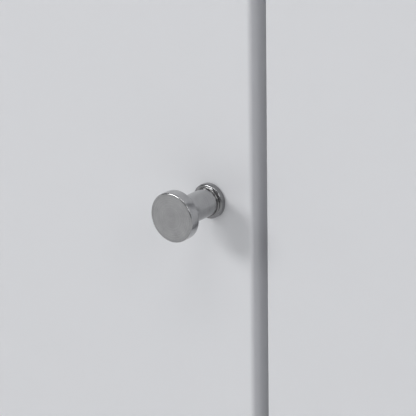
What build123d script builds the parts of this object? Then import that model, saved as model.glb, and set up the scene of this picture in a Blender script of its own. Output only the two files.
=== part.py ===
from build123d import *
import os

# A white lacquered apothecary cabinet on four steel legs: two tall inset doors below, two rows
# of small drawers above, all opened by turned steel knobs. Millimetres, +Z up, front towards -Y.
# The origin is on the floor, under the middle of the whole cabinet, knobs included.

# --- Overall sizes -------------------------------------------------------------------------
overall_width = 670.0
carcase_depth = 380.0
carcase_height = 1120.0
leg_height = 120.0

# --- Boards --------------------------------------------------------------------------------
board = 19.0             # carcase panels, doors and drawer fronts
divider_board = 16.0     # partition, dividers and loose shelves
back_board = 8.0
front_radius = 1.5       # rounding round the outer face of doors and drawer fronts
rear_radius = 1.0        # rounding round their inner face
panel_radius = 1.0       # rounding on the front edges of the carcase panels
top_radius = 2.0         # rounding round the upper face of the top panel

# --- Fronts --------------------------------------------------------------------------------
columns = 4
rows = 2
front_gap = 6.8          # shadow gap round every door and drawer front
front_clearance = 1.0    # between a front's inner face and the boards behind it
drawer_front_height = 118.0

# --- Back panel ----------------------------------------------------------------------------
back_inset = 12.0        # from the carcase's rear edge to the groove
groove_depth = 8.0
groove_play = 0.2        # groove wider than the back panel by this
back_panel_play = 1.0    # room left at the bottom of each groove
wall_hole_radius = 3.0
wall_hole_drop = 16.0    # below the top panel, above the trays' rims

# --- Dowels --------------------------------------------------------------------------------
dowel_radius = 4.0
dowel_length = 32.0
dowel_tip_gap = 1.0      # wood left between two dowels that meet in one board
dowel_margin = 48.0      # from a panel's front or rear end to its first dowel

# --- Doors ---------------------------------------------------------------------------------
pivot_inset = 12.0       # pivot axis from the door's hinge edge
inner_setback = 30.0     # partition and shelves stay this far behind the front plane
plate_length = 50.0
plate_width = 13.0
plate_thickness = 3.0
plate_corner = 5.0       # the cutter that sinks the plate leaves round corners
plate_lead = 7.0         # from the pivot axis to the near end of its plate
pin_radius = 3.95
pin_play = 0.05          # between the pin and its bush, all round
pin_engagement = 9.0     # length of pin inside the bush's sleeve
bush_wall = 2.0
bush_depth = 11.0        # sleeve let into the panel
collar_rim = 1.0         # the collar is wider than the sleeve by this
collar_play = 0.2        # between the collar and the door's edge
plate_screw_offsets = (18.0, 34.0)   # from the pivot axis

# --- Magnetic catches ----------------------------------------------------------------------
catch_size = (46.0, 16.0, 14.0)
catch_offset = 60.0      # catch centre from the door's free edge
strike_size = (40.0, 1.6, 12.0)
strike_corner = 2.0
strike_screw_spacing = 28.0
strike_play = 0.3        # between a shut door's strike plate and its catch
pole_size = (4.0, 10.0, 9.0)
pole_spacing = 12.0
catch_screw_spacing = 34.0

# --- Drawers -------------------------------------------------------------------------------
tray_sheet = 1.0
tray_bend = 2.5          # outside radius of the tray's folds
tray_rise = 15.0         # tray's underside above its front's lower edge
tray_drop = 23.0         # tray's rim below its front's upper edge
tray_play = 0.75         # between the tray's side and its rail
tray_rear_gap = 21.0     # from the tray's rear wall to the back panel
tray_screw_spacing = 70.0
rail_thickness = 12.0
rail_height = 20.0
rail_start = 24.0        # rails begin this far behind the front plane
rail_rear_gap = 26.0     # from a rail's rear end to the back panel
rail_web = 2.5           # left behind the groove
rail_groove_lift = 5.0   # tray's rim flange above the rail's middle
flange_play = 0.5        # between the flange's tip and the groove's bottom
flange_rest = 0.3        # between the flange and the groove's lower wall
flange_headroom = 0.7    # between the flange and the groove's upper wall
rail_screw_drop = 4.0    # screw below the rail's middle
rail_screw_ends = 40.0   # screws from the rail's ends
rail_recess_play = 0.3   # round a screw's head in its recess
rail_recess_depth = 8.0
rail_screw_tip_gap = 2.4     # wood left between the tips of two opposite rail screws

# --- Loose shelves -------------------------------------------------------------------------
shelves_per_bay = 2
shelf_play = 1.0         # at each end and behind
shelf_pin_radius = 2.5
shelf_pin_depth = 6.5
shelf_pin_reach = 8.0
pin_flange_radius = 3.5
pin_flange_thickness = 0.8
hole_pitch = 32.0
holes_each_way = 2       # spare holes above and below each shelf's own
pin_setback = 37.0       # pin rows from the front and rear edges of the shelf

# --- Knobs ---------------------------------------------------------------------------------
knob_projection = 25.0
knob_head_radius = 10.0
knob_head_thickness = 5.2
knob_face_edge = 0.6     # rounding between face and rim
knob_back_edge = 1.0     # rounding behind the rim
knob_stem_radius = 5.6
knob_neck_fillet = 0.9
knob_foot_radius = 7.1
knob_foot_thickness = 2.6
knob_foot_edge = 0.8
knob_cove = 0.5          # hollow where the stem meets the foot
knob_seat_edge = 0.3     # rounding where the foot meets the front
knob_bore_spare = 1.0    # bore beyond the tip of a door knob's screw
door_knob_inset = 19.8   # knob axis from the door's free edge

# --- Screws --------------------------------------------------------------------------------
knob_screw_radius = 2.0
knob_screw_grip = 10.0   # thread inside a drawer's knob
knob_screw_head = (4.2, 2.6)         # radius and height
wood_screw_radius = 1.5
wood_screw_head = (3.0, 1.8)
flat_screw_head = (3.0, 1.5)         # radius at the surface, depth of the cone
recess_span = 1.15       # cross recess in a head: its length, as a share of the head's radius
recess_width = 0.7
recess_depth = 1.0
plate_screw_length = 16.0
strike_screw_length = 10.0
tray_screw_length = 12.0
catch_screw_length = 24.0

# --- Legs ----------------------------------------------------------------------------------
leg_radius = 16.0
leg_wall = 2.0
leg_plate_radius = 38.0
leg_plate_thickness = 3.0
leg_plate_edge = 0.8
leg_weld = 2.5           # weld bead between tube and plate
leg_inset = 58.0         # leg axis from the carcase's sides, front and back
leg_screw_circle = 27.0
leg_screw_length = 14.0
glide_thickness = 6.0
glide_spigot = 10.0
glide_edge = 1.5

# --- Worked-out places ---------------------------------------------------------------------
inner_width = overall_width - 2 * board
front_y = -(carcase_depth - knob_projection) / 2
rear_y = front_y + carcase_depth
back_face_y = rear_y - back_inset - back_board          # the back panel's inner face
half_width = overall_width / 2
half_inner = inner_width / 2

bottom_z = leg_height
floor_z = bottom_z + board                              # upper face of the bottom panel
top_z = bottom_z + carcase_height
ceiling_z = top_z - board
drawer_bay = rows * drawer_front_height + (rows + 1) * front_gap
drawer_floor_z = ceiling_z - drawer_bay
shelf_z = drawer_floor_z - board                        # under face of the section shelf

door_width = (inner_width - 3 * front_gap) / 2
door_height = shelf_z - floor_z - 2 * front_gap
drawer_front_width = (inner_width - (columns + 1) * front_gap) / columns
behind_fronts_y = front_y + board + front_clearance
partition_y = front_y + inner_setback
pivot_y = front_y + board / 2
bay_half = drawer_front_width / 2 + front_gap / 2 - divider_board / 2
rail_length = back_face_y - rail_rear_gap - (front_y + rail_start)
rail_groove_depth = rail_thickness - rail_web
rail_groove_height = tray_sheet + flange_rest + flange_headroom
rail_screw_length = rail_thickness - rail_recess_depth + (divider_board - rail_screw_tip_gap) / 2
tray_length = back_face_y - tray_rear_gap - (front_y + board)
tray_top_height = drawer_front_height - tray_drop
tray_height = tray_top_height - tray_rise
tray_half = bay_half - rail_thickness - tray_play
flange_reach = bay_half - rail_thickness + rail_groove_depth - flange_play

dowel_in_face = (board - dowel_tip_gap) / 2     # the rest of its length is in the other board's end
pin_reach = front_gap + pin_engagement
bush_bore_radius = pin_radius + pin_play
bush_radius = bush_bore_radius + bush_wall
collar_radius = bush_radius + collar_rim
rail_recess_radius = wood_screw_head[0] + rail_recess_play
knob_screw_length = board + tray_sheet + knob_screw_grip
knob_bore_depth = knob_screw_length - board + knob_bore_spare

X, Y, Z = (1, 0, 0), (0, 1, 0), (0, 0, 1)
MINUS_X, MINUS_Y, MINUS_Z = (-1, 0, 0), (0, -1, 0), (0, 0, -1)


# --- Helpers -------------------------------------------------------------------------------
def block(low, high):
    """A box between two opposite corners."""
    size = [b - a for a, b in zip(low, high)]
    middle = [(a + b) / 2 for a, b in zip(low, high)]
    return Pos(*middle) * Box(*size)


def rod(start, direction, radius, length):
    """A cylinder that starts at a point and runs along a direction."""
    place = Plane(origin=start, z_dir=direction)
    return place * Cylinder(radius, length, align=(Align.CENTER, Align.CENTER, Align.MIN))


def front_edges(part):
    """The edges round a part's foremost face."""
    return part.faces().sort_by(Axis.Y)[0].edges()


def rear_edges(part):
    """The edges round a part's rearmost face."""
    return part.faces().sort_by(Axis.Y)[-1].edges()


def ahead(point, direction, distance):
    """The point a distance along a direction."""
    return tuple(p + d * distance for p, d in zip(point, direction))


def save(part, name):
    """Writes one sub-part, a solid or a group of separate solids."""
    shape = Compound(children=list(part)) if isinstance(part, list) else part
    export_step(shape, f"parts/{name}.step")


# --- Fasteners -----------------------------------------------------------------------------
def cross_recess(top, direction, head_radius):
    """The cross that a driver fits, sunk from the top of a head."""
    span = head_radius * recess_span
    place = Plane(origin=top, z_dir=direction)
    align = (Align.CENTER, Align.CENTER, Align.MIN)
    return [place * Box(span, recess_width, recess_depth, align=align),
            place * Box(recess_width, span, recess_depth, align=align)]


def screw(seat, direction, radius, length, head):
    """A screw: its head stands on the seat, its shank runs along the direction."""
    head_radius, head_height = head
    back = tuple(-d for d in direction)
    cap = rod(seat, back, head_radius, head_height)
    cap = fillet(cap.edges().filter_by(GeomType.CIRCLE).sort_by_distance(seat)[-1], head_height * 0.6)
    whole = cap + rod(seat, direction, radius, length)
    return (whole - cross_recess(ahead(seat, back, head_height), direction, head_radius)).solid()


def wood_screw(seat, direction, length):
    return screw(seat, direction, wood_screw_radius, length, wood_screw_head)


def knob_screw(seat):
    return screw(seat, MINUS_Y, knob_screw_radius, knob_screw_length, knob_screw_head)


def flat_screw_blank(surface, direction, length):
    """A countersunk screw, head flush with a plate's surface, before its recess is sunk."""
    wide, depth = flat_screw_head
    cone = Plane(origin=surface, z_dir=direction) * Cone(
        wide, wood_screw_radius, depth, align=(Align.CENTER, Align.CENTER, Align.MIN))
    return (cone + rod(surface, direction, wood_screw_radius, length)).solid()


def flat_screw_blanks(places, length):
    return [flat_screw_blank(surface, direction, length) for surface, direction in places]


def flat_screws(places, length):
    return [(flat_screw_blank(surface, direction, length)
             - cross_recess(surface, direction, flat_screw_head[0])).solid()
            for surface, direction in places]


# --- Dowel positions: a point on the joint's face, and the direction into the board's end -----
def spread(low, high, count):
    """Evenly spaced places from low to high, both ends included."""
    return [low + (high - low) * n / (count - 1) for n in range(count)]


dowel_rows = spread(front_y + dowel_margin, back_face_y - dowel_margin, 3)
divider_xs = [-half_inner + n * (drawer_front_width + front_gap) + front_gap / 2
              for n in range(1, columns)]


def side_dowels(sign, height):
    """Dowels between a side panel and the end of a board that lies at this height."""
    return [((sign * half_inner, y, height), (-sign, 0, 0)) for y in dowel_rows]


def top_dowels(sign):
    """Dowels between the top panel and a side panel's upper end."""
    return [((sign * (half_inner + board / 2), y, ceiling_z), MINUS_Z) for y in dowel_rows]


def upright_dowels(x, low, high):
    """Dowels at both ends of an upright board."""
    pair = [dowel_rows[0], dowel_rows[-1]]
    return [((x, y, high), MINUS_Z) for y in pair] + [((x, y, low), Z) for y in pair]


bottom_board_z = bottom_z + board / 2
section_board_z = shelf_z + board / 2
partition_dowels = upright_dowels(0, floor_z, shelf_z)
divider_dowels = [d for x in divider_xs for d in upright_dowels(x, drawer_floor_z, ceiling_z)]
joints_of_side = {sign: side_dowels(sign, bottom_board_z) + side_dowels(sign, section_board_z)
                  + top_dowels(sign) for sign in (-1, 1)}
all_dowels = joints_of_side[-1] + joints_of_side[1] + partition_dowels + divider_dowels


def dowel(joint):
    """A dowel across a joint: a short end in the face, the long end in the board."""
    point, direction = joint
    start = ahead(point, direction, -dowel_in_face)
    return rod(start, direction, dowel_radius, dowel_length)


# --- Shelf positions -----------------------------------------------------------------------
door_bay_height = shelf_z - floor_z
shelf_levels = [floor_z + door_bay_height * n / (shelves_per_bay + 1)
                for n in range(1, shelves_per_bay + 1)]
pin_rows = (partition_y + pin_setback, back_face_y - shelf_play - pin_setback)
pin_walls = ((-half_inner, X), (-divider_board / 2, MINUS_X),
             (divider_board / 2, X), (half_inner, MINUS_X))


def pin_heights():
    """The height of every shelf-pin hole."""
    steps = range(-holes_each_way, holes_each_way + 1)
    return [level - shelf_pin_radius + step * hole_pitch for level in shelf_levels for step in steps]


def shelf_holes(wall_x, out):
    """Shelf-pin holes in a wall; out points from the wall into the bay."""
    into = tuple(-d for d in out)
    return [rod((wall_x, y, z), into, shelf_pin_radius, shelf_pin_depth)
            for y in pin_rows for z in pin_heights()]


# --- Drawer places -------------------------------------------------------------------------
def drawer_place(number):
    """Middle in x, and lower edge, of drawer 1 to 8: left to right, upper row first."""
    row, column = divmod(number - 1, columns)
    x = -half_inner + front_gap + drawer_front_width / 2 + column * (drawer_front_width + front_gap)
    z = ceiling_z - (row + 1) * (front_gap + drawer_front_height)
    return x, z


drawer_numbers = range(1, rows * columns + 1)


def rail_screw_points():
    """Where each rail screw's head seats, and its direction into the board."""
    points = []
    for number in drawer_numbers:
        x, z = drawer_place(number)
        rail_z = z + tray_top_height - tray_sheet / 2 - rail_groove_lift
        for side in (-1, 1):
            seat_x = x + side * (bay_half - rail_thickness + rail_recess_depth)
            for y in (front_y + rail_start + rail_screw_ends,
                      front_y + rail_start + rail_length - rail_screw_ends):
                points.append(((seat_x, y, rail_z - rail_screw_drop), (side, 0, 0)))
    return points


rail_screws = [wood_screw(point, direction, rail_screw_length)
               for point, direction in rail_screw_points()]


def shank_holes(points, length):
    return [rod(point, direction, wood_screw_radius, length) for point, direction in points]


# --- Catch places --------------------------------------------------------------------------
def door_left_edge(side):
    """Left edge of the left (0) or right (1) door."""
    return -half_inner + front_gap + side * (door_width + front_gap)


def catch_x(side):
    return door_left_edge(side) + door_width - catch_offset


catch_front_y = front_y + board + strike_size[1] + strike_play
catch_points = [((catch_x(side) + n * catch_screw_spacing / 2, catch_front_y + catch_size[1] / 2,
                  shelf_z - catch_size[2]), Z) for side in (0, 1) for n in (-1, 1)]

# --- Leg places ----------------------------------------------------------------------------
leg_places = [(sx * (half_width - leg_inset), y) for sx in (-1, 1)
              for y in (front_y + leg_inset, rear_y - leg_inset)]
leg_plate_z = bottom_z - leg_plate_thickness
leg_points = [((x + dx * leg_screw_circle / 2 ** 0.5, y + dy * leg_screw_circle / 2 ** 0.5, leg_plate_z), Z)
              for x, y in leg_places for dx in (-1, 1) for dy in (-1, 1)]


# --- Carcase -------------------------------------------------------------------------------
back_slot = block((-half_inner - groove_depth, back_face_y - groove_play / 2, floor_z - groove_depth),
                  (half_inner + groove_depth, back_face_y + back_board + groove_play / 2,
                   ceiling_z + groove_depth))


def side_panel(sign):
    low_x, high_x = sorted((sign * half_inner, sign * half_width))
    panel = block((low_x, front_y, bottom_z), (high_x, rear_y, ceiling_z))
    panel = fillet(front_edges(panel).filter_by(Axis.Z), panel_radius)
    inner = shelf_holes(sign * half_inner, (-sign, 0, 0))
    return panel - [back_slot, *inner, *map(dowel, joints_of_side[sign])]


def top_panel():
    panel = block((-half_width, front_y, ceiling_z), (half_width, rear_y, top_z))
    panel = fillet(panel.faces().sort_by(Axis.Z)[-1].edges(), top_radius)
    joints = top_dowels(-1) + top_dowels(1) + divider_dowels
    return panel - [back_slot, *map(dowel, joints)]


def pivot_axes():
    """The doors' pivot axes in x."""
    return [door_left_edge(side) + pivot_inset for side in (0, 1)]


def bottom_panel():
    panel = block((-half_inner, front_y, bottom_z), (half_inner, rear_y, floor_z))
    panel = fillet(front_edges(panel).filter_by(Axis.X), panel_radius)
    joints = side_dowels(-1, bottom_board_z) + side_dowels(1, bottom_board_z) + partition_dowels
    sockets = [rod((x, pivot_y, floor_z), MINUS_Z, bush_radius, bush_depth) for x in pivot_axes()]
    screws = shank_holes(leg_points, leg_screw_length)
    return panel - [back_slot, *map(dowel, joints), *sockets, *screws]


def section_shelf():
    """The fixed board between the doors and the drawers."""
    panel = block((-half_inner, front_y, shelf_z), (half_inner, back_face_y, drawer_floor_z))
    panel = fillet(front_edges(panel).filter_by(Axis.X), panel_radius)
    joints = (side_dowels(-1, section_board_z) + side_dowels(1, section_board_z)
              + partition_dowels + divider_dowels)
    sockets = [rod((x, pivot_y, shelf_z), Z, bush_radius, bush_depth) for x in pivot_axes()]
    screws = shank_holes(catch_points, catch_screw_length)
    return panel - [*map(dowel, joints), *sockets, *screws]


def centre_partition():
    half = divider_board / 2
    panel = block((-half, partition_y, floor_z), (half, back_face_y, shelf_z))
    panel = fillet(front_edges(panel).filter_by(Axis.Z), panel_radius)
    holes = shelf_holes(-half, MINUS_X) + shelf_holes(half, X)
    return panel - [*holes, *map(dowel, partition_dowels)]


def drawer_divider(x):
    half = divider_board / 2
    panel = block((x - half, behind_fronts_y, drawer_floor_z), (x + half, back_face_y, ceiling_z))
    panel = fillet(front_edges(panel).filter_by(Axis.Z), panel_radius)
    joints = upright_dowels(x, drawer_floor_z, ceiling_z)
    return panel - [*map(dowel, joints), *shank_holes(rail_screw_points(), rail_screw_length)]


def back_panel():
    reach = groove_depth - back_panel_play
    panel = block((-half_inner - reach, back_face_y, floor_z - reach),
                  (half_inner + reach, back_face_y + back_board, ceiling_z + reach))
    height = ceiling_z - wall_hole_drop
    holes = [rod((drawer_place(number)[0], back_face_y, height), Y, wall_hole_radius, back_board)
             for number in (1, columns)]
    return panel - holes


def shelf(side, level):
    """A loose shelf of the left (-1) or right (1) bay."""
    near, far = sorted((side * (divider_board / 2 + shelf_play), side * (half_inner - shelf_play)))
    panel = block((near, partition_y, level), (far, back_face_y - shelf_play, level + divider_board))
    return fillet(front_edges(panel).filter_by(Axis.X), panel_radius)


def shelf_pins():
    """Four pins under each loose shelf, each with a thin flange against the wall."""
    pins = []
    for wall_x, out in pin_walls:
        into = tuple(-d for d in out)
        for y in pin_rows:
            for level in shelf_levels:
                spot = (wall_x, y, level - shelf_pin_radius)
                stem = rod(ahead(spot, into, shelf_pin_depth), out, shelf_pin_radius,
                           shelf_pin_depth + shelf_pin_reach)
                collar = rod(spot, out, pin_flange_radius, pin_flange_thickness)
                pins.append((stem + collar).solid())
    return pins


# --- Rails ---------------------------------------------------------------------------------
def drawer_rail(number, side):
    """A grooved rail on the left (-1) or right (1) of a drawer."""
    x, z = drawer_place(number)
    middle_z = z + tray_top_height - tray_sheet / 2 - rail_groove_lift
    inner_x = x + side * (bay_half - rail_thickness)
    outer_x = x + side * bay_half
    low_x, high_x = sorted((inner_x, outer_x))
    low_y = front_y + rail_start
    rail = block((low_x, low_y, middle_z - rail_height / 2),
                 (high_x, low_y + rail_length, middle_z + rail_height / 2))
    groove_low, groove_high = sorted((inner_x, inner_x + side * rail_groove_depth))
    groove_z = z + tray_top_height - tray_sheet - flange_rest
    groove = block((groove_low, low_y, groove_z),
                   (groove_high, low_y + rail_length, groove_z + rail_groove_height))
    holes = []
    for y in (low_y + rail_screw_ends, low_y + rail_length - rail_screw_ends):
        spot = (inner_x, y, middle_z - rail_screw_drop)
        holes.append(rod(spot, (side, 0, 0), rail_recess_radius, rail_recess_depth))
        holes.append(rod(spot, (side, 0, 0), wood_screw_radius, rail_thickness))
    return (rail - [groove, *holes]).solid()


def rail_spacer(number, side):
    """A batten that packs an outer rail off its side panel."""
    x, z = drawer_place(number)
    middle_z = z + tray_top_height - tray_sheet / 2 - rail_groove_lift
    low_x, high_x = sorted((x + side * bay_half, side * half_inner))
    low_y = front_y + rail_start
    batten = block((low_x, low_y, middle_z - rail_height / 2),
                   (high_x, low_y + rail_length, middle_z + rail_height / 2))
    return (batten - shank_holes(rail_screw_points(), rail_screw_length)).solid()


# --- Knob ----------------------------------------------------------------------------------
def knob(x, z):
    """A turned knob standing on the front plane, its axis along -Y."""
    neck = knob_projection - knob_head_thickness
    profile = Polyline((0, 0), (knob_foot_radius, 0), (knob_foot_radius, knob_foot_thickness),
                       (knob_stem_radius, knob_foot_thickness), (knob_stem_radius, neck),
                       (knob_head_radius, neck), (knob_head_radius, knob_projection),
                       (0, knob_projection), close=True)
    face = make_face(profile)
    corners = {(knob_foot_radius, 0): knob_seat_edge,
               (knob_foot_radius, knob_foot_thickness): knob_foot_edge,
               (knob_stem_radius, knob_foot_thickness): knob_cove,
               (knob_stem_radius, neck): knob_neck_fillet,
               (knob_head_radius, neck): knob_back_edge,
               (knob_head_radius, knob_projection): knob_face_edge}
    for corner, radius in corners.items():
        face = fillet(face.vertices().sort_by_distance(corner + (0,))[0], radius)
    turned = revolve(Plane.XZ * face, Axis.Z)
    turned = turned - Cylinder(knob_screw_radius, knob_bore_depth,
                               align=(Align.CENTER, Align.CENTER, Align.MIN))
    return Pos(x, front_y, z) * Rot(90, 0, 0) * turned


def knob_hole(x, z):
    return rod((x, front_y, z), Y, knob_screw_radius, board)


# --- Doors ---------------------------------------------------------------------------------
def front_board(low_x, low_z, width, height):
    """A door or drawer front: soft edges in front, finer ones behind."""
    panel = block((low_x, front_y, low_z), (low_x + width, front_y + board, low_z + height))
    panel = fillet(front_edges(panel), front_radius)
    return fillet(rear_edges(panel), rear_radius)


def door_knob_place(side):
    x = door_left_edge(side) + door_width - door_knob_inset
    return x, floor_z + front_gap + door_height / 2


def pivot_ends(side):
    """The middle of the pivot on the door's lower and upper edge, and the way out of the edge."""
    x = door_left_edge(side) + pivot_inset
    low = floor_z + front_gap
    return [((x, pivot_y, low), MINUS_Z), ((x, pivot_y, low + door_height), Z)]


def plate_blank(end, out):
    x, y, z = end
    inner_z = z - out[2] * plate_thickness
    low_z, high_z = sorted((z, inner_z))
    blank = block((x - plate_lead, y - plate_width / 2, low_z),
                  (x - plate_lead + plate_length, y + plate_width / 2, high_z))
    return fillet(blank.edges().filter_by(Axis.Z), plate_corner)


def plate_screw_places(end, out):
    """Where two countersunk screws go through a pivot plate into the door."""
    x, y, z = end
    return [((x + offset, y, z), (0, 0, -out[2])) for offset in plate_screw_offsets]


def pivot_plate(end, out):
    """A steel plate let into the door's edge, with the pivot pin standing on it."""
    pin = rod(end, out, pin_radius, pin_reach)
    screws = flat_screw_blanks(plate_screw_places(end, out), plate_screw_length)
    return (plate_blank(end, out) + pin - screws).solid()


def strike_screw_places(side):
    """Where two countersunk screws go through the strike plate, outside the catch's poles."""
    y, z = front_y + board + strike_size[1], shelf_z - catch_size[2] / 2
    return [((catch_x(side) + n * strike_screw_spacing / 2, y, z), MINUS_Y) for n in (-1, 1)]


def strike_plate(side):
    x, z = catch_x(side), shelf_z - catch_size[2] / 2
    near = front_y + board
    plate = block((x - strike_size[0] / 2, near, z - strike_size[2] / 2),
                  (x + strike_size[0] / 2, near + strike_size[1], z + strike_size[2] / 2))
    plate = fillet(plate.edges().filter_by(Axis.Y), strike_corner)
    return (plate - flat_screw_blanks(strike_screw_places(side), strike_screw_length)).solid()


def door_panel(side):
    panel = front_board(door_left_edge(side), floor_z + front_gap, door_width, door_height)
    cuts = [knob_hole(*door_knob_place(side))]
    for end, out in pivot_ends(side):
        cuts += [plate_blank(end, out), *flat_screw_blanks(plate_screw_places(end, out), plate_screw_length)]
    return panel - cuts - flat_screw_blanks(strike_screw_places(side), strike_screw_length)


def pivot_bush(end, out):
    """A nylon bush in the panel that faces the door's edge; its collar fills the gap."""
    x, y, z = end
    collar_start = ahead(end, out, collar_play)
    panel_face = ahead(end, out, front_gap)
    collar = rod(collar_start, out, collar_radius, front_gap - collar_play)
    sleeve = rod(panel_face, out, bush_radius, bush_depth)
    bore = rod(collar_start, out, bush_bore_radius, front_gap + bush_depth)
    return (collar + sleeve - bore).solid()


# --- Catches -------------------------------------------------------------------------------
def magnetic_catch(side):
    """A plastic body with two steel pole pieces that show at its face."""
    x = catch_x(side)
    width, deep, high = catch_size
    body = block((x - width / 2, catch_front_y, shelf_z - high),
                 (x + width / 2, catch_front_y + deep, shelf_z))
    body = fillet(body.edges().filter_by(Axis.Z), panel_radius)
    poles = []
    for n in (-1, 1):
        px = x + n * pole_spacing / 2
        poles.append(block((px - pole_size[0] / 2, catch_front_y, shelf_z - high / 2 - pole_size[2] / 2),
                           (px + pole_size[0] / 2, catch_front_y + pole_size[1],
                            shelf_z - high / 2 + pole_size[2] / 2)))
    return [(body - poles - shank_holes(catch_points, catch_screw_length)).solid(),
            *[p.solid() for p in poles]]


# --- Drawers -------------------------------------------------------------------------------
def drawer_knob_place(number):
    x, z = drawer_place(number)
    return x, z + drawer_front_height / 2


def tray_screw_seats(number):
    """Two screws through the tray's front wall into the drawer front."""
    x, z = drawer_knob_place(number)
    return [((x + n * tray_screw_spacing / 2, front_y + board + tray_sheet, z), MINUS_Y) for n in (-1, 1)]


def drawer_front(number):
    x, z = drawer_place(number)
    panel = front_board(x - drawer_front_width / 2, z, drawer_front_width, drawer_front_height)
    return panel - [knob_hole(*drawer_knob_place(number)),
                    *shank_holes(tray_screw_seats(number), tray_screw_length)]


def drawer_tray(number):
    """A folded sheet-steel tray: open on top, its side rims turned out into runner flanges."""
    x, z = drawer_place(number)
    near = front_y + board
    rim = z + tray_top_height
    outer = block((x - tray_half, near, rim - tray_height), (x + tray_half, near + tray_length, rim))
    outer = fillet(outer.edges().filter_by(Axis.Z) + outer.faces().sort_by(Axis.Z)[0].edges(), tray_bend)
    inner = block((x - tray_half + tray_sheet, near + tray_sheet, rim - tray_height + tray_sheet),
                  (x + tray_half - tray_sheet, near + tray_length - tray_sheet, rim))
    inner = fillet(inner.edges().filter_by(Axis.Z) + inner.faces().sort_by(Axis.Z)[0].edges(),
                   tray_bend - tray_sheet)
    tray = outer - inner
    for side in (-1, 1):
        low_x, high_x = sorted((x + side * (tray_half - tray_sheet), x + side * flange_reach))
        tray += block((low_x, near + tray_bend, rim - tray_sheet),
                      (high_x, near + tray_length - tray_bend, rim))
    knob_x, knob_z = drawer_knob_place(number)
    holes = [rod((knob_x, near, knob_z), Y, knob_screw_radius, tray_sheet)]
    holes += shank_holes(tray_screw_seats(number), tray_sheet)
    return (tray - holes).solid()


def drawer_screws(number):
    """The knob's screw and the two that hold the tray to its front."""
    x, z = drawer_knob_place(number)
    held = [wood_screw(seat, into, tray_screw_length) for seat, into in tray_screw_seats(number)]
    return [knob_screw((x, front_y + board + tray_sheet, z)), *held]


# --- Legs ----------------------------------------------------------------------------------
def leg(x, y):
    """A steel tube welded under a round fixing plate."""
    length = leg_plate_z - glide_thickness
    tube = rod((x, y, glide_thickness), Z, leg_radius, length)
    hollow = rod((x, y, glide_thickness), Z, leg_radius - leg_wall, length)
    plate = rod((x, y, leg_plate_z), Z, leg_plate_radius, leg_plate_thickness)
    rim = plate.edges().filter_by(GeomType.CIRCLE).sort_by(Axis.Z)[0]
    welded = tube + fillet(rim, leg_plate_edge)
    seam = welded.edges().filter_by(GeomType.CIRCLE).sort_by_distance((x + leg_radius, y, leg_plate_z))[0]
    return (fillet(seam, leg_weld) - hollow - shank_holes(leg_points, leg_plate_thickness)).solid()


def leg_glide(x, y):
    """A plastic foot with a spigot that plugs the tube."""
    foot = rod((x, y, 0), Z, leg_radius, glide_thickness)
    foot = fillet(foot.edges().filter_by(GeomType.CIRCLE).sort_by(Axis.Z)[0], glide_edge)
    return (foot + rod((x, y, glide_thickness), Z, leg_radius - leg_wall, glide_spigot)).solid()


# --- Write every sub-part ------------------------------------------------------------------
def door_screws(side):
    """The knob's screw, and the pivot plates' and strike plate's."""
    x, z = door_knob_place(side)
    found = [knob_screw((x, front_y + board, z))]
    for end, out in pivot_ends(side):
        found += flat_screws(plate_screw_places(end, out), plate_screw_length)
    return found + flat_screws(strike_screw_places(side), strike_screw_length)


os.makedirs("parts", exist_ok=True)

save(side_panel(-1), "left_side_panel")
save(side_panel(1), "right_side_panel")
save(top_panel(), "top_panel")
save(bottom_panel(), "bottom_panel")
save(section_shelf(), "section_shelf")
save(centre_partition(), "centre_partition")
save([drawer_divider(x).solid() for x in divider_xs], "drawer_dividers")
save(back_panel(), "back_panel")
save([shelf(side, level).solid() for side in (-1, 1) for level in shelf_levels], "adjustable_shelves")
save(shelf_pins(), "shelf_pins")
save([dowel(joint).solid() for joint in all_dowels], "dowels")
save([drawer_rail(n, side) for n in drawer_numbers for side in (-1, 1)], "drawer_rails")
save([rail_spacer(n + row * columns, side) for row in range(rows)
      for n, side in ((1, -1), (columns, 1))], "rail_spacers")
save([pivot_bush(*end) for side in (0, 1) for end in pivot_ends(side)], "pivot_bushes")
save([solid for side in (0, 1) for solid in magnetic_catch(side)], "magnetic_catches")
save([leg(x, y) for x, y in leg_places], "legs")
save([leg_glide(x, y) for x, y in leg_places], "leg_glides")
save(rail_screws + [wood_screw(p, d, catch_screw_length) for p, d in catch_points]
     + [wood_screw(p, d, leg_screw_length) for p, d in leg_points], "carcase_screws")

for side, name in enumerate(("left_door", "right_door")):
    save(door_panel(side), f"{name}_panel")
    save(knob(*door_knob_place(side)), f"{name}_knob")
    save([pivot_plate(*end) for end in pivot_ends(side)], f"{name}_pivots")
    save(strike_plate(side), f"{name}_strike_plate")
    save(door_screws(side), f"{name}_screws")

for number in drawer_numbers:
    save(drawer_front(number), f"drawer_{number}_front")
    save(drawer_tray(number), f"drawer_{number}_tray")
    save(knob(*drawer_knob_place(number)), f"drawer_{number}_knob")
    save(drawer_screws(number), f"drawer_{number}_screws")
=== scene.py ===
import math
import bmesh
import bpy
from mathutils import Matrix, Vector


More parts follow.
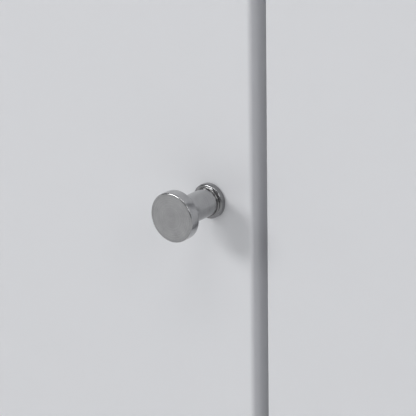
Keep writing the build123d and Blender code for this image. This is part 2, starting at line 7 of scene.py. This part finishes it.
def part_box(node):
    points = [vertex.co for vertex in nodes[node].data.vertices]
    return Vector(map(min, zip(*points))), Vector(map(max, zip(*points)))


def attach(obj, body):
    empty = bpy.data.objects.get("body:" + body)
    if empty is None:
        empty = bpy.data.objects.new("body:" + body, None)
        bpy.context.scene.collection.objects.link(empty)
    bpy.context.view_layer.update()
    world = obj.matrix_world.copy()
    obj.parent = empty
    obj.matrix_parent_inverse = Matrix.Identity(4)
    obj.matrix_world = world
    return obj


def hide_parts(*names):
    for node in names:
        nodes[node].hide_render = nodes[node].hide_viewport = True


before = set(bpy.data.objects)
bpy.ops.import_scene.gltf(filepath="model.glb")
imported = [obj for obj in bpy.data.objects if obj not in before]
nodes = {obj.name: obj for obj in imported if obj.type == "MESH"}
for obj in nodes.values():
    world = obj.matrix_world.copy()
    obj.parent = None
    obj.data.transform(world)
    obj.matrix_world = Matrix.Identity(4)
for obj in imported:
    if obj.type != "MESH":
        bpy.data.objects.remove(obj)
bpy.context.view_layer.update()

scene = bpy.context.scene


def millimetres(value):
    return value / 1000


# camera

view = {
    "azimuth": 38.15,            # degrees round the cabinet, 0 is straight on
    "elevation": 20.25,
    "distance": 0.9056,          # metres, from the knob's foot
    "lens": 200.0,
    "roll": -0.93,               # degrees
    "aimRight": -0.00157,        # metres, from the middle of the knob's foot
    "aimUp": -0.00374,
}


def addCamera():
    low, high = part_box("left_door_knob")
    aim = Vector(((low.x + high.x) / 2 + view["aimRight"], high.y, (low.z + high.z) / 2 + view["aimUp"]))
    turn, rise = math.radians(view["azimuth"]), math.radians(view["elevation"])
    back = Vector((math.sin(turn) * math.cos(rise), -math.cos(turn) * math.cos(rise), math.sin(rise)))
    camera = bpy.data.objects.new("camera", bpy.data.cameras.new("camera"))
    camera.data.lens = view["lens"]
    camera.data.clip_start, camera.data.clip_end = 0.01, 50
    camera.rotation_mode = "QUATERNION"
    camera.location = aim + back * view["distance"]
    facing = (-back).to_track_quat("-Z", "Y")
    roll = Matrix.Rotation(math.radians(view["roll"]), 3, "Z")
    camera.rotation_quaternion = facing @ roll.to_quaternion()
    scene.collection.objects.link(camera)
    scene.camera = camera


addCamera()
print("camera placed")


# shader help

class Signal:
    # a socket that sums and products can be written with
    def __init__(self, finish, socket):
        self.finish, self.socket = finish, socket

    def maths(self, operation, *values):
        return self.finish.node("ShaderNodeMath", {"operation": operation}, dict(enumerate(values)))

    def __add__(self, other):
        return self.maths("ADD", self, other)

    def __radd__(self, other):
        return self.maths("ADD", other, self)

    def __sub__(self, other):
        return self.maths("SUBTRACT", self, other)

    def __rsub__(self, other):
        return self.maths("SUBTRACT", other, self)

    def __mul__(self, other):
        return self.maths("MULTIPLY", self, other)

    def __rmul__(self, other):
        return self.maths("MULTIPLY", other, self)

    def __abs__(self):
        return self.maths("ABSOLUTE", self)

    def above(self, edge, softness):
        # 0 below the edge, 1 above it, with a soft step between
        settings = {"interpolation_type": "SMOOTHSTEP"}
        return self.finish.node("ShaderNodeMapRange", settings,
                                {"Value": self, "From Min": edge - softness, "From Max": edge + softness})


class Finish:
    # one material, or the surroundings, and the nodes in it
    def __init__(self, name, owners=bpy.data.materials, shader="Principled BSDF"):
        self.owner = owners.new(name)
        self.owner.use_nodes = True
        self.tree = self.owner.node_tree
        self.shader = self.tree.nodes[shader]
        self.places = {}

    def node(self, kind, settings=None, sockets=None, output=0):
        made = self.tree.nodes.new(kind)
        for name, value in (settings or {}).items():
            if name == "stops":
                self.setStops(made.color_ramp, value)
            else:
                setattr(made, name, value)
        for name, value in (sockets or {}).items():
            self.connect(self.find(made.inputs, name), value)
        return Signal(self, self.find(made.outputs, output))

    def find(self, sockets, name):
        if isinstance(name, int):
            return sockets[name]
        for socket in sockets:
            if socket.identifier == name:
                return socket
        return sockets[name]

    def connect(self, socket, value):
        if isinstance(value, Signal):
            self.tree.links.new(value.socket, socket)
        else:
            socket.default_value = value

    def setStops(self, ramp, stops):
        while len(ramp.elements) < len(stops):
            ramp.elements.new(1)
        for element, (place, colour) in zip(ramp.elements, stops):
            element.position, element.color = place, (*colour, 1)

    def coordinates(self, output="Object"):
        if output not in self.places:
            self.places[output] = self.node("ShaderNodeTexCoord", {}, {}, output)
        return self.places[output]

    def mapped(self, scale=(1, 1, 1)):
        return self.node("ShaderNodeMapping", {}, {"Vector": self.coordinates(), "Scale": scale})

    def noise(self, scale, detail=2.0, roughness=0.5, stretch=(1, 1, 1)):
        return self.node("ShaderNodeTexNoise", {}, {"Vector": self.mapped(stretch), "Scale": scale,
                                                    "Detail": detail, "Roughness": roughness})

    def rings(self, scale, detail):
        # marks that follow the turning map of a piece made on the lathe
        return self.node("ShaderNodeTexNoise", {"noise_dimensions": "2D"},
                         {"Vector": self.coordinates("UV"), "Scale": scale, "Detail": detail})

    def axis(self, name, output="Object"):
        # one coordinate, or one part of the surface's direction
        return self.node("ShaderNodeSeparateXYZ", {}, {"Vector": self.coordinates(output)}, name)

    def blend(self, factor, first, second):
        return self.node("ShaderNodeMix", {"data_type": "RGBA"},
                         {"Factor_Float": factor, "A_Color": first, "B_Color": second}, "Result_Color")

    def bump(self, height, distance, under=None):
        sockets = {"Height": height, "Distance": distance}
        if under is not None:
            sockets["Normal"] = under
        return self.node("ShaderNodeBump", {}, sockets)

    def shade(self, **inputs):
        # constants and links of the main shader: baseColor is its Base Color, and so on
        for name, value in inputs.items():
            words = "".join(" " + c if c.isupper() else c for c in name)
            self.connect(self.shader.inputs[words[0].upper() + words[1:]], value)
        return self.owner


def grey(value):
    return (value, value, value, 1)


# light

studio = {
    # name: direction from the knob, distance, width and height, power, shape
    "softboxes": {
        "keyLight": ((-0.50, -0.78, 0.415), 6.0, (3.0, 1.5), 122.0, "ELLIPSE"),
        "topLight": ((0.16, -0.46, 0.87), 3.0, (1.5, 0.6), 8.6, "RECTANGLE"),
        "rightLight": ((0.74, -0.42, 0.52), 3.2, (0.6, 1.3), 8.4, "RECTANGLE"),
        "sideLight": ((-0.93, -0.34, 0.10), 3.0, (0.6, 0.9), 2.7, "RECTANGLE"),
        "backLight": ((0.30, 0.70, 0.75), 5.0, (2.5, 1.5), 54.0, "RECTANGLE"),
    },
    "horizon": (0.223, 0.226, 0.230, 1),
    "zenith": (0.396, 0.404, 0.415, 1),
}


def addLights():
    low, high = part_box("left_door_knob")
    middle = (low + high) / 2
    for name, (direction, distance, (width, height), power, shape) in studio["softboxes"].items():
        towards = Vector(direction).normalized()
        light = bpy.data.objects.new(name, bpy.data.lights.new(name, "AREA"))
        light.data.shape = shape
        light.data.size = width
        light.data.size_y = height
        light.data.energy = power
        light.location = middle + towards * distance
        light.rotation_mode = "QUATERNION"
        light.rotation_quaternion = towards.to_track_quat("Z", "Y")
        scene.collection.objects.link(light)


def addSurroundings():
    # an even pale room, brighter overhead
    room = Finish("studio", bpy.data.worlds, "Background")
    height = room.axis("Z", "Generated")
    scene.world = room.shade(color=room.blend(height.above(0.5, 0.5), studio["horizon"], studio["zenith"]))
    scene.view_settings.view_transform = "Standard"


addLights()
addSurroundings()
print("lights placed")


# finishes

lacquerLook = {
    "colour": (0.841, 0.845, 0.866, 1),
    "shaded": (0.826, 0.832, 0.855, 1),
    "gloss": 0.36,
    "glossPatch": 0.05,
    "peelScale": 420.0,         # waves to the metre
    "peelHeight": 0.0000035,
    "grainScale": 2600.0,
    "grainHeight": 0.0000012,
}


def satinLacquer():
    finish = Finish("satinLacquer")
    clouds = finish.noise(7.0, 3.0)
    peel = finish.noise(lacquerLook["peelScale"], 2.0, 0.4)
    grain = finish.noise(lacquerLook["grainScale"], 1.0)
    colour = finish.blend(clouds, lacquerLook["colour"], lacquerLook["shaded"])
    rough = clouds * lacquerLook["glossPatch"] + (lacquerLook["gloss"] - lacquerLook["glossPatch"] / 2)
    skin = finish.bump(peel, lacquerLook["peelHeight"])
    skin = finish.bump(grain, lacquerLook["grainHeight"], skin)
    return finish.shade(baseColor=colour, roughness=rough, normal=skin)


knobLook = {
    "colour": (0.62, 0.62, 0.625, 1),
    "dull": (0.29, 0.29, 0.295, 1),
    "faceTone": 0.34,           # painted reflection, between dull and colour: the face, the sides and the foot each get their own tone of the one steel
    "sideTone": 0.45,
    # painted reflection: the foot is darkest, standing for the dark surroundings it reflects
    "footTone": 0.0,
    "lineTone": 0.8,            # how much the turning marks and the stains change the tone
    "stainTone": 0.5,
    "faceFrom": 0.985,          # how squarely a surface faces forwards to count as the face
    "edgeFrom": 0.12,
    "rough": 0.17,
    "roughRange": 0.10,
    "polished": 0.15,           # roughness of the foot and of the rounded edges
    "polishedBelow": millimetres(2.7),
    "ringScale": 9000.0,        # turning marks to the metre
    "ringHeight": 0.0000050,
    "stainScale": 260.0,
    # colour of the painted shade ring in the hollow between stem and foot
    "grime": (0.10, 0.095, 0.09, 1),
    "hollowShadeHeight": millimetres(3.0),    # painted shade: a dark ring in the hollow where the stem meets the foot
    "hollowShadeWidth": millimetres(0.25),
    "hollowShadeShare": 0.7,
}


def brushedKnob():
    finish = Finish("brushedKnob")
    look = knobLook
    # the turning map holds the distance from the axis and the height above the foot, in metres
    height = finish.axis("Y", "UV")
    facing = abs(finish.axis("Y", "Normal"))
    face = facing.above(look["faceFrom"], 0.01)
    edges = facing.above(look["edgeFrom"], 0.06) * (1 - face)
    foot = 1 - height.above(look["polishedBelow"], millimetres(0.1))
    smooth = edges + foot * (1 - edges)
    lines = finish.rings(look["ringScale"], 1.0) * 0.5 + finish.rings(look["ringScale"] / 2, 3.0) * 0.5
    stains = finish.noise(look["stainScale"], 4.0, 0.6)
    # painted reflection: the face, the sides and the foot get their own tone of the one steel, darkest on
    # the foot
    tone = face * (look["faceTone"] - look["sideTone"]) + look["sideTone"]
    tone = tone + (look["footTone"] - tone) * foot + (lines - 0.5) * look["lineTone"]
    tone = tone + (stains - 0.5) * look["stainTone"]
    colour = finish.blend(tone, look["dull"], look["colour"])
    # painted shade: a dark ring laid into the colour in the hollow where the stem meets the foot
    grime = 1 - abs(height - look["hollowShadeHeight"]).above(look["hollowShadeWidth"], look["hollowShadeWidth"])
    colour = finish.blend(grime * look["hollowShadeShare"], colour, look["grime"])
    brushed = (lines - 0.5) * look["roughRange"] + look["rough"]
    rough = brushed + (look["polished"] - brushed) * smooth
    return finish.shade(baseColor=colour, roughness=rough, metallic=1.0,
                        normal=finish.bump(lines * (1 - smooth), look["ringHeight"]))


legLook = {
    "colour": grey(0.56),
    "dull": grey(0.44),
    "aroundScale": 2600.0,      # brushing round the tube, marks to the metre
    "flatScale": 2200.0,        # brushing along the plates
    "stainScale": 30.0,
    "rough": 0.26,
    "lineHeight": 0.000006,
}


def brushedLeg():
    finish = Finish("brushedLeg")
    upright = 1 - abs(finish.axis("Z", "Normal")).above(0.8, 0.1)
    around = finish.noise(legLook["aroundScale"], 2.0, 0.7, stretch=(0.01, 0.01, 1))
    flat = finish.noise(legLook["flatScale"], 2.0, 0.7, stretch=(0.01, 1, 0.2))
    lines = flat + (around - flat) * upright
    stains = finish.noise(legLook["stainScale"], 3.0)
    colour = finish.blend(lines * 0.5 + stains * 0.5, legLook["dull"], legLook["colour"])
    rough = (lines - 0.5) * 0.14 + stains * 0.06 + legLook["rough"]
    return finish.shade(baseColor=colour, roughness=rough, metallic=1.0,
                        normal=finish.bump(lines, legLook["lineHeight"]))


zincLook = {
    "colour": (0.60, 0.61, 0.64, 1),
    "dull": (0.46, 0.47, 0.49, 1),
    "spangleScale": 900.0,
    "spangleHeight": 0.000008,
    "stainScale": 120.0,
    "rough": 0.22,
}


def zincPlate():
    finish = Finish("zincPlate")
    spangle = finish.node("ShaderNodeTexVoronoi", {},
                          {"Vector": finish.mapped(), "Scale": zincLook["spangleScale"]}, "Distance")
    stains = finish.noise(zincLook["stainScale"], 4.0, 0.6)
    colour = finish.blend(stains, zincLook["dull"], zincLook["colour"])
    rough = spangle * 0.12 + stains * 0.16 + zincLook["rough"]
    return finish.shade(baseColor=colour, roughness=rough, metallic=1.0,
                        normal=finish.bump(spangle, zincLook["spangleHeight"]))


coatLook = {
    "colour": (0.74, 0.75, 0.765, 1),
    "worn": (0.66, 0.67, 0.69, 1),
    "pebbleScale": 1500.0,
    "pebbleHeight": 0.00001,
    "waveScale": 260.0,
    "waveHeight": 0.00002,
    "wearScale": 14.0,
    "rough": 0.40,
}


def powderCoat():
    finish = Finish("powderCoat")
    pebble = finish.noise(coatLook["pebbleScale"], 2.0, 0.5)
    waves = finish.noise(coatLook["waveScale"], 2.0)
    wear = finish.noise(coatLook["wearScale"], 4.0)
    colour = finish.blend(wear, coatLook["worn"], coatLook["colour"])
    rough = pebble * 0.10 + wear * 0.08 + coatLook["rough"]
    skin = finish.bump(waves, coatLook["waveHeight"])
    skin = finish.bump(pebble, coatLook["pebbleHeight"], skin)
    return finish.shade(baseColor=colour, roughness=rough, normal=skin)


plasticLook = {
    "pebbleScale": 2400.0,
    "flowScale": 45.0,
    # name: light, dark, roughness, height of the pebbling
    "kinds": {
        "railPlastic": (grey(0.52), grey(0.45), 0.42, 0.000008),
        "whiteNylon": ((0.76, 0.76, 0.74, 1), (0.70, 0.70, 0.68, 1), 0.38, 0.000005),
        "greyNylon": (grey(0.060), grey(0.045), 0.48, 0.00001),
    },
}


def mouldedPlastic(name):
    light, dark, rough, pebbleHeight = plasticLook["kinds"][name]
    finish = Finish(name)
    pebble = finish.noise(plasticLook["pebbleScale"], 2.0, 0.6)
    flow = finish.noise(plasticLook["flowScale"], 3.0)
    colour = finish.blend(flow, dark, light)
    return finish.shade(baseColor=colour, roughness=pebble * 0.14 + flow * 0.06 + rough,
                        normal=finish.bump(pebble, pebbleHeight))


catchLook = {
    "height": millimetres(14),
    "width": millimetres(46),
    "poleOffset": millimetres(6),       # of each pole's middle from the catch's middle
    "poleHalfWidth": millimetres(2),
    "poleHalfHeight": millimetres(4.5),
    "poleDepth": millimetres(10),
    "poleBlur": millimetres(0.05),
    "steel": (0.50, 0.50, 0.51, 1),
    "darkSteel": (0.36, 0.36, 0.37, 1),
    "plastic": (0.76, 0.76, 0.74, 1),
    "darkPlastic": (0.70, 0.70, 0.68, 1),
    "pebbleScale": 2400.0,
    "pebbleHeight": 0.000005,
    "brushScale": 900.0,
}


def catchFinish():
    # white plastic bodies, with steel poles let into their faces
    finish = Finish("catchPlastic")
    low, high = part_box("magnetic_catches")
    look = catchLook
    fromMiddle = abs(finish.axis("X") - (low.x + high.x) / 2)
    fromCatch = abs(fromMiddle - (high.x - low.x - look["width"]) / 2)
    across = abs(fromCatch - look["poleOffset"])
    level = abs(finish.axis("Z") - (high.z - look["height"] / 2))
    pole = 1 - across.above(look["poleHalfWidth"], look["poleBlur"])
    pole = pole * (1 - level.above(look["poleHalfHeight"], look["poleBlur"]))
    pole = pole * (1 - finish.axis("Y").above(low.y + look["poleDepth"], look["poleBlur"]))
    pebble = finish.noise(look["pebbleScale"], 2.0, 0.6)
    brushed = finish.noise(look["brushScale"], 2.0, 0.6, stretch=(1, 1, 0.05))
    body = finish.blend(pebble * 0.3, look["plastic"], look["darkPlastic"])
    steel = finish.blend(brushed, look["steel"], look["darkSteel"])
    rough = pebble * 0.14 + 0.38
    return finish.shade(baseColor=finish.blend(pole, body, steel), metallic=pole,
                        roughness=rough + (brushed * 0.2 + 0.2 - rough) * pole,
                        normal=finish.bump(pebble, look["pebbleHeight"]))


beechLook = {
    "light": (0.68, 0.47, 0.29, 1),
    "dark": (0.50, 0.31, 0.17, 1),
    "fleck": (0.36, 0.20, 0.10, 1),
    "grainScale": 420.0,
    "grainHeight": 0.00004,
    "fleckScale": 900.0,
    "toneScale": 18.0,
    "rough": 0.5,
}


def bareBeech():
    finish = Finish("bareBeech")
    grain = finish.noise(beechLook["grainScale"], 5.0, 0.6, stretch=(1, 0.03, 1))
    fleck = finish.noise(beechLook["fleckScale"], 2.0, 0.5, stretch=(1, 0.12, 0.4))
    tone = finish.noise(beechLook["toneScale"], 2.0)
    colour = finish.blend(grain * 0.6 + tone * 0.4, beechLook["dark"], beechLook["light"])
    colour = finish.blend(fleck.above(0.62, 0.05) * 0.5, colour, beechLook["fleck"])
    return finish.shade(baseColor=colour, roughness=grain * 0.15 + beechLook["rough"],
                        normal=finish.bump(grain, beechLook["grainHeight"]))


melamineLook = {
    "light": (0.80, 0.81, 0.815, 1),
    "dark": (0.74, 0.75, 0.755, 1),
    "paperScale": 1100.0,
    "paperHeight": 0.000012,
    "cloudScale": 5.0,
    "rough": 0.42,
}


def melamineBoard():
    finish = Finish("melamineBoard")
    paper = finish.noise(melamineLook["paperScale"], 3.0, 0.6)
    cloud = finish.noise(melamineLook["cloudScale"], 3.0)
    colour = finish.blend(cloud, melamineLook["dark"], melamineLook["light"])
    return finish.shade(baseColor=colour, roughness=paper * 0.12 + cloud * 0.05 + melamineLook["rough"],
                        normal=finish.bump(paper, melamineLook["paperHeight"]))


floorLook = {
    "shade": 0.76,
    "cloudScale": 1.3,
    "speckScale": 400.0,
    "speckHeight": 0.00005,
    "rough": 0.55,
    "size": 40.0,               # metres across
}


def paleFloor():
    finish = Finish("paleFloor")
    cloud = finish.noise(floorLook["cloudScale"], 3.0)
    speck = finish.noise(floorLook["speckScale"], 2.0)
    colour = finish.blend(cloud, grey(floorLook["shade"] * 0.97), grey(floorLook["shade"] * 1.02))
    return finish.shade(baseColor=colour, roughness=speck * 0.1 + floorLook["rough"],
                        normal=finish.bump(speck, floorLook["speckHeight"]))


finishes = {
    "lacquer": satinLacquer(),
    "knob": brushedKnob(),
    "leg": brushedLeg(),
    "zinc": zincPlate(),
    "tray": powderCoat(),
    "rail": mouldedPlastic("railPlastic"),
    "nylon": mouldedPlastic("whiteNylon"),
    "catch": catchFinish(),
    "glide": mouldedPlastic("greyNylon"),
    "beech": bareBeech(),
    "back": melamineBoard(),
    "floor": paleFloor(),
}
print("finishes made:", len(finishes))


# pieces

def newPiece(name, mesh, body, finishName, *standsFor):
    data = bpy.data.meshes.new(name)
    mesh.to_mesh(data)
    mesh.free()
    piece = bpy.data.objects.new(name, data)
    scene.collection.objects.link(piece)
    data.materials.append(finishes[finishName])
    if standsFor:
        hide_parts(*standsFor)
    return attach(piece, body)


def smoothByAngle(mesh, degrees):
    # round surfaces shade smoothly, and corners stay crisp
    for face in mesh.faces:
        face.smooth = True
    for edge in mesh.edges:
        edge.smooth = len(edge.link_faces) == 2 and edge.calc_face_angle(0) < math.radians(degrees)


def roundOff(mesh, edges, offset, segments):
    bmesh.ops.bevel(mesh, geom=edges, offset=offset, offset_type="OFFSET", affect="EDGES",
                    segments=segments, profile=0.5, material=-1)


def evenShading(piece):
    # flat faces keep their own direction beside their rounded edges
    weighted = piece.modifiers.new("evenShading", "WEIGHTED_NORMAL")
    weighted.keep_sharp = True
    weighted.weight = 100


knobTurning = {
    "steps": 96,
    "stem": millimetres(5.6),
    "foot": millimetres(7.1),
    "footDepth": millimetres(2.6),
    "footEdge": millimetres(0.8),
    "cove": millimetres(0.5),
    "seatEdge": millimetres(0.3),
    "headDepth": millimetres(5.2),
    "faceEdge": millimetres(0.6),
    "backEdge": millimetres(1.0),
    "neck": millimetres(0.9),
    "bore": millimetres(2.0),
    "boreDepth": millimetres(12.0),
}


def turnedKnob(node, body):
    low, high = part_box(node)
    radius, length = (high.x - low.x) / 2, high.y - low.y
    turning = knobTurning
    neck = length - turning["headDepth"]
    outline = [(0, turning["boreDepth"]), (turning["bore"], turning["boreDepth"]), (turning["bore"], 0),
               (turning["foot"], 0), (turning["foot"], turning["footDepth"]),
               (turning["stem"], turning["footDepth"]), (turning["stem"], neck), (radius, neck),
               (radius, length), (0, length)]
    mesh = bmesh.new()
    points = [mesh.verts.new((r, 0, h)) for r, h in outline]
    edges = [mesh.edges.new(pair) for pair in zip(points, points[1:])]
    bmesh.ops.spin(mesh, geom=points + edges, cent=(0, 0, 0), axis=(0, 0, 1), dvec=(0, 0, 0),
                   angle=math.tau, steps=turning["steps"], use_merge=True, use_normal_flip=False)
    bmesh.ops.remove_doubles(mesh, verts=mesh.verts, dist=1e-6)
    roundings = [((turning["foot"], 0), turning["seatEdge"], 4),
                 ((turning["foot"], turning["footDepth"]), turning["footEdge"], 6),
                 ((turning["stem"], turning["footDepth"]), turning["cove"], 4),
                 ((turning["stem"], neck), turning["neck"], 4),
                 ((radius, neck), turning["backEdge"], 5),
                 ((radius, length), turning["faceEdge"], 6)]
    for (ring, height), offset, segments in roundings:
        found = [e for e in mesh.edges if all(
            abs(Vector(v.co[:2]).length - ring) < 1e-5 and abs(v.co.z - height) < 1e-5 for v in e.verts)]
        roundOff(mesh, found, offset, segments)
    bmesh.ops.recalc_face_normals(mesh, faces=mesh.faces)
    smoothByAngle(mesh, 40)
    turningMap = mesh.loops.layers.uv.new("turning")
    for corner in (loop for face in mesh.faces for loop in face.loops):
        place = corner.vert.co
        corner[turningMap].uv = (Vector(place[:2]).length, place.z)
    forwards = Matrix.Rotation(math.radians(90), 3, "X")
    bmesh.ops.rotate(mesh, verts=mesh.verts, cent=(0, 0, 0), matrix=forwards)
    bmesh.ops.translate(mesh, verts=mesh.verts, vec=((low.x + high.x) / 2, high.y, (low.z + high.z) / 2))
    piece = newPiece(node + "_turned", mesh, body, "knob", node)
    evenShading(piece)
    return piece


frontBoard = {
    "faceEdge": millimetres(1.5),
    "backEdge": millimetres(1.0),
}


def roundedBoard(node, body):
    # a door or drawer front: soft edges round the outer face, finer ones behind
    low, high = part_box(node)
    mesh = bmesh.new()
    bmesh.ops.create_cube(mesh, size=1)
    bmesh.ops.scale(mesh, verts=mesh.verts, vec=high - low)
    bmesh.ops.translate(mesh, verts=mesh.verts, vec=(low + high) / 2)
    for y, offset, segments in ((low.y, frontBoard["faceEdge"], 8), (high.y, frontBoard["backEdge"], 4)):
        rim = [e for e in mesh.edges if all(abs(v.co.y - y) < 1e-5 for v in e.verts)]
        roundOff(mesh, rim, offset, segments)
    bmesh.ops.recalc_face_normals(mesh, faces=mesh.faces)
    smoothByAngle(mesh, 40)
    piece = newPiece(node + "_board", mesh, body, "lacquer", node)
    evenShading(piece)
    return piece


for body in ("left_door", "right_door"):
    turnedKnob(body + "_knob", body)
for number in range(1, 9):
    turnedKnob(f"drawer_{number}_knob", f"drawer_{number}")
    roundedBoard(f"drawer_{number}_front", f"drawer_{number}")
print("knobs and fronts made")


# finishes of the pieces that stay as they are

nodeFinishes = {
    "back_panel": "back",
    "legs": "leg",
    "leg_glides": "glide",
    "dowels": "beech",
    "rail_spacers": "beech",
    "drawer_rails": "rail",
    "pivot_bushes": "nylon",
    "magnetic_catches": "catch",
    "shelf_pins": "zinc",
}


def finishOf(node):
    if node in nodeFinishes:
        return nodeFinishes[node]
    if node.endswith(("_screws", "_pivots", "_strike_plate")):
        return "zinc"
    if node.endswith("_tray"):
        return "tray"
    if node.endswith("_knob"):
        return "knob"
    return "lacquer"


for name, node in nodes.items():
    node.data.materials.clear()
    node.data.materials.append(finishes[finishOf(name)])
print("finishes given to", len(nodes), "nodes")


def addFloor():
    mesh = bmesh.new()
    bmesh.ops.create_circle(mesh, cap_ends=True, segments=96, radius=floorLook["size"] / 2)
    data = bpy.data.meshes.new("floor")
    mesh.to_mesh(data)
    mesh.free()
    floor = bpy.data.objects.new("floor", data)
    floor.data.materials.append(finishes["floor"])
    scene.collection.objects.link(floor)


addFloor()
print("floor laid")
